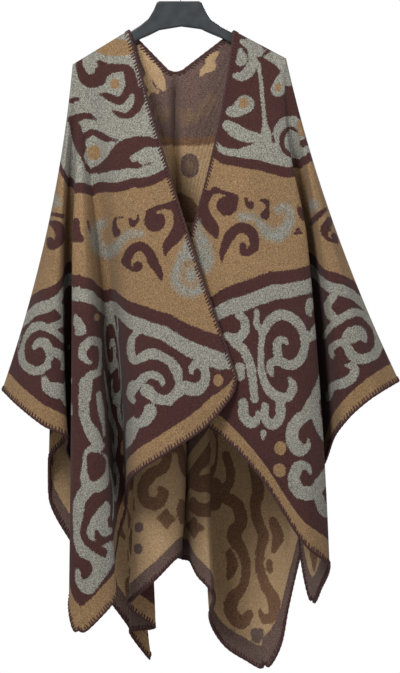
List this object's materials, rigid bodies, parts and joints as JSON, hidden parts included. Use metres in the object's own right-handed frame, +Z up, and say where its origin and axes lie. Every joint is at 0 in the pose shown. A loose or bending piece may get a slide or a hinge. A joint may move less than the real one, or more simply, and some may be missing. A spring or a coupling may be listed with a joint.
{
  "type": "poncho on a coat hanger",
  "caption": "Open-front blanket poncho with jacquard scrolls, hung with soft folds on a plain plastic coat hanger with a wire hook.",
  "frame": {"origin": "inside the hook's crown, where a rail carries it", "axes": "+Z up, the garment's front faces -Y, +X to the right of someone facing the front"},
  "size_m": [0.6542, 0.2795, 1.2084],
  "materials": {
    "cloth": "brushed jacquard knit in dark brown, heather grey and camel",
    "plastic": "satin black",
    "wire": "plated"
  },
  "bodies": {
    "root": {"front_left": "cloth", "front_right": "cloth", "back": "cloth", "hanger": "plastic", "hook": "wire"}
  },
  "joints": []
}
